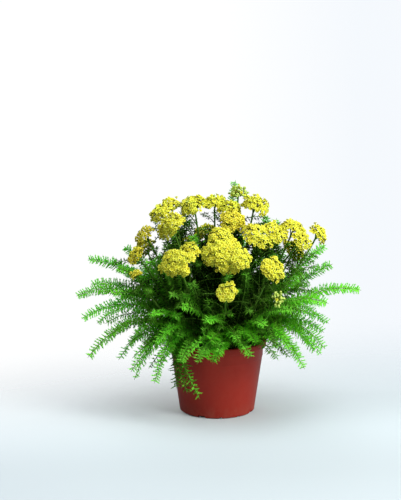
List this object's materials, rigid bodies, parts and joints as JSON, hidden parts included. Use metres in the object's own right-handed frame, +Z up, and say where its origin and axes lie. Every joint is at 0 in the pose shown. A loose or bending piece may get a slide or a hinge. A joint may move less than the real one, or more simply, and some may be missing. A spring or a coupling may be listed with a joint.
{
  "type": "yarrow plant in a nursery pot",
  "caption": "Flowering yarrow in a plastic nursery pot: feathery fronds, leafy stems and flat-domed clusters of small yellow florets.",
  "frame": {"origin": "middle of the pot's underside, on the pot's axis, in the plane that the pot stands on", "axes": "+Z up along the pot's axis; -Y is the plant's front, where its largest flower heads lean out; +X to the right of a viewer who looks at the front"},
  "size_m": [0.404, 0.2975, 0.3236],
  "materials": {
    "pot": "terracotta-red moulded plastic, satin",
    "compost": "dark crumbly compost",
    "foliage": "soft green leaf with fine hairs",
    "bloom": "matt lemon-yellow florets with ochre centres"
  },
  "bodies": {
    "root": {"compost": "compost", "flower_head_back_inner": "bloom", "flower_head_back_left": "bloom", "flower_head_back_left_side": "bloom", "flower_head_back_middle": "bloom", "flower_head_back_right": "bloom", "flower_head_back_right_side": "bloom", "flower_head_front_left": "bloom", "flower_head_front_low": "bloom", "flower_head_front_middle": "bloom", "flower_head_front_right": "bloom", "flower_head_left_bud": "bloom", "flower_head_left_high": "bloom", "flower_head_left_inner": "bloom", "flower_head_left_low": "bloom", "flower_head_left_side": "bloom", "flower_head_left_top": "bloom", "flower_head_right_bud": "bloom", "flower_head_right_front": "bloom", "flower_head_right_inner": "bloom", "flower_head_right_side": "bloom", "flower_head_summit_bud": "bloom", "flower_head_top_front": "bloom", "flower_head_top_middle": "bloom", "flower_head_top_right": "bloom", "leaf_tuft_back": "foliage", "leaf_tuft_back_left": "foliage", "leaf_tuft_back_right": "foliage", "leaf_tuft_front": "foliage", "leaf_tuft_front_left": "foliage", "leaf_tuft_left": "foliage", "leaf_tuft_left_front": "foliage", "leaf_tuft_right": "foliage", "leaf_tuft_right_front": "foliage", "pot": "pot", "stem_back_inner": "foliage", "stem_back_left": "foliage", "stem_back_left_side": "foliage", "stem_back_middle": "foliage", "stem_back_right": "foliage", "stem_back_right_side": "foliage", "stem_front_left": "foliage", "stem_front_low": "foliage", "stem_front_middle": "foliage", "stem_front_right": "foliage", "stem_left_bud": "foliage", "stem_left_high": "foliage", "stem_left_inner": "foliage", "stem_left_low": "foliage", "stem_left_side": "foliage", "stem_left_top": "foliage", "stem_right_bud": "foliage", "stem_right_front": "foliage", "stem_right_inner": "foliage", "stem_right_side": "foliage", "stem_summit_bud": "foliage", "stem_top_front": "foliage", "stem_top_middle": "foliage", "stem_top_right": "foliage"}
  },
  "joints": []
}
